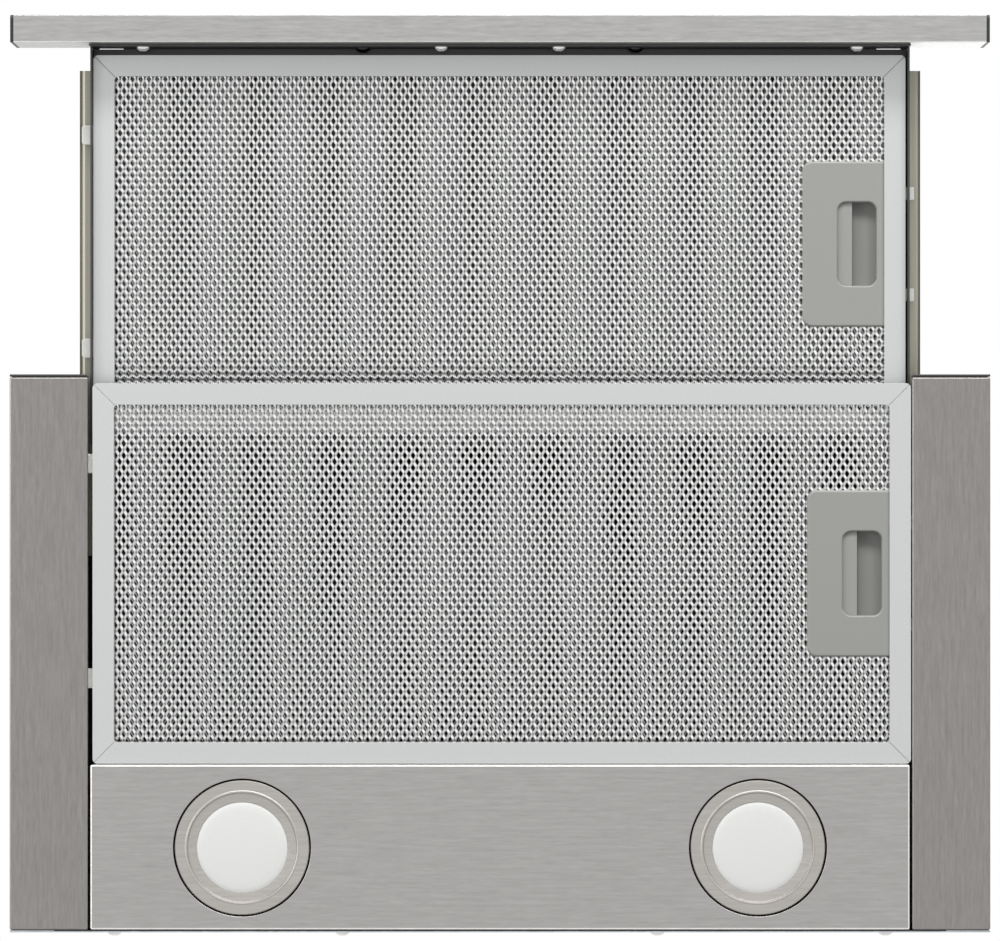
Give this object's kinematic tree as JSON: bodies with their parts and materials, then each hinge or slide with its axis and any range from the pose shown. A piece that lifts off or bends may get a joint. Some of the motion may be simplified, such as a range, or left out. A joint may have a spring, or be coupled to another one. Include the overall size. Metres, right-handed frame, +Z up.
{
  "type": "pull-out range hood",
  "caption": "Under-cabinet range hood with a pull-out filter drawer, mesh grease filters with latched handles, round lamps, push buttons, ball slides, blower and top duct outlet.",
  "frame": {"origin": "under the middle of the outline at rest, with the drawer pulled out, in the plane of the trims' undersides", "axes": "+X to the right seen from the front, -Y towards the cook and the way the drawer pulls out, +Z up towards the duct"},
  "size_m": [0.5, 0.47, 0.203],
  "materials": {
    "galvanised_steel": "dull grey zinc-coated sheet",
    "black_steel": "semi-matt black powder coat",
    "brushed_stainless": "brushed stainless steel",
    "satin_ring": "satin grey metal",
    "frosted_lens": "frosted white",
    "zinc_plated": "zinc-plated steel",
    "filter_frame": "satin light grey aluminium",
    "filter_mesh": "expanded aluminium mesh",
    "grey_plastic": "matt grey moulding",
    "white_plastic": "natural white moulding",
    "black_plastic": "matt black moulding"
  },
  "bodies": {
    "hood_body": {"chassis": "galvanised_steel", "top_cover": "galvanised_steel", "scroll_housing": "galvanised_steel", "motor_bracket": "galvanised_steel", "motor": "galvanised_steel", "lamp_can_left": "galvanised_steel", "lamp_can_right": "galvanised_steel", "side_bracket_left": "black_steel", "side_bracket_right": "black_steel", "side_trim_left": "brushed_stainless", "side_trim_right": "brushed_stainless", "lamp_panel": "brushed_stainless", "lamp_bezel_left": "satin_ring", "lamp_bezel_right": "satin_ring", "lamp_lens_left": "frosted_lens", "lamp_lens_right": "frosted_lens", "rear_screw_1": "zinc_plated", "rear_screw_2": "zinc_plated", "rear_screw_3": "zinc_plated", "rear_screw_4": "zinc_plated", "slide_outer_left": "zinc_plated", "slide_outer_right": "zinc_plated", "fixed_filter_frame": "filter_frame", "fixed_filter_mesh": "filter_mesh", "fixed_filter_handle": "grey_plastic", "fixed_filter_tab_front": "white_plastic", "fixed_filter_tab_rear": "white_plastic", "outlet_collar": "black_plastic", "terminal_box": "black_plastic", "cable_gland": "black_plastic"},
    "drawer": {"drawer_tray": "black_steel", "drawer_cover": "black_steel", "fascia": "brushed_stainless", "end_cap_left": "black_plastic", "end_cap_right": "black_plastic", "slide_inner_left": "zinc_plated", "slide_inner_right": "zinc_plated", "drawer_filter_frame": "filter_frame", "drawer_filter_mesh": "filter_mesh", "drawer_filter_handle": "grey_plastic", "drawer_filter_tab_front": "white_plastic", "drawer_filter_tab_rear": "white_plastic", "switch_module": "black_plastic", "fascia_screw_1": "zinc_plated", "fascia_screw_2": "zinc_plated", "fascia_screw_3": "zinc_plated", "fascia_screw_4": "zinc_plated"},
    "drawer_filter_latch": {"drawer_filter_latch": "white_plastic"},
    "fixed_filter_latch": {"fixed_filter_latch": "white_plastic"},
    "fan_wheel": {"fan_wheel": "black_plastic"},
    "outlet_flap_front": {"outlet_flap_front": "black_plastic"},
    "outlet_flap_rear": {"outlet_flap_rear": "black_plastic"},
    "ball_cage_left": {"ball_cage_left": "zinc_plated"},
    "ball_cage_right": {"ball_cage_right": "zinc_plated"},
    "button_off": {"button_off": "black_plastic"},
    "button_speed_1": {"button_speed_1": "black_plastic"},
    "button_speed_2": {"button_speed_2": "black_plastic"},
    "button_speed_3": {"button_speed_3": "black_plastic"},
    "button_light": {"button_light": "black_plastic"}
  },
  "joints": [
    {"name": "drawer_slide", "type": "slide", "parent": "hood_body", "child": "drawer", "axis": [0, -1, 0], "range_m": [-0.168, 0]},
    {"name": "ball_cage_left_slide", "type": "slide", "parent": "hood_body", "child": "ball_cage_left", "axis": [0, -1, 0], "range_m": [-0.084, 0]},
    {"name": "ball_cage_right_slide", "type": "slide", "parent": "hood_body", "child": "ball_cage_right", "axis": [0, -1, 0], "range_m": [-0.084, 0]},
    {"name": "drawer_filter_latch_slide", "type": "slide", "parent": "drawer", "child": "drawer_filter_latch", "axis": [-1, 0, 0], "range_m": [0, 0.005], "stiffness_N_per_m": 400, "springref_m": -0.002},
    {"name": "fixed_filter_latch_slide", "type": "slide", "parent": "hood_body", "child": "fixed_filter_latch", "axis": [-1, 0, 0], "range_m": [0, 0.005], "stiffness_N_per_m": 400, "springref_m": -0.002},
    {"name": "button_off_press", "type": "slide", "parent": "drawer", "child": "button_off", "axis": [0, 1, 0], "range_m": [0, 0.002], "stiffness_N_per_m": 400, "springref_m": -0.001},
    {"name": "button_speed_1_press", "type": "slide", "parent": "drawer", "child": "button_speed_1", "axis": [0, 1, 0], "range_m": [0, 0.002], "stiffness_N_per_m": 400, "springref_m": -0.001},
    {"name": "button_speed_2_press", "type": "slide", "parent": "drawer", "child": "button_speed_2", "axis": [0, 1, 0], "range_m": [0, 0.002], "stiffness_N_per_m": 400, "springref_m": -0.001},
    {"name": "button_speed_3_press", "type": "slide", "parent": "drawer", "child": "button_speed_3", "axis": [0, 1, 0], "range_m": [0, 0.002], "stiffness_N_per_m": 400, "springref_m": -0.001},
    {"name": "button_light_press", "type": "slide", "parent": "drawer", "child": "button_light", "axis": [0, 1, 0], "range_m": [0, 0.002], "stiffness_N_per_m": 400, "springref_m": -0.001},
    {"name": "fan_spin", "type": "hinge", "parent": "hood_body", "child": "fan_wheel", "pos_m": [0, 0.05104, 0.111], "axis": [1, 0, 0], "continuous": true},
    {"name": "outlet_flap_front_hinge", "type": "hinge", "parent": "hood_body", "child": "outlet_flap_front", "pos_m": [0, 0.08805, 0.184], "axis": [-1, 0, 0], "range_deg": [0, 78]},
    {"name": "outlet_flap_rear_hinge", "type": "hinge", "parent": "hood_body", "child": "outlet_flap_rear", "pos_m": [0, 0.09245, 0.184], "axis": [1, 0, 0], "range_deg": [0, 78]}
  ],
  "couplings": [
    {"joint": "ball_cage_left_slide", "follows": "drawer_slide", "ratio": 0.5},
    {"joint": "ball_cage_right_slide", "follows": "drawer_slide", "ratio": 0.5}
  ]
}
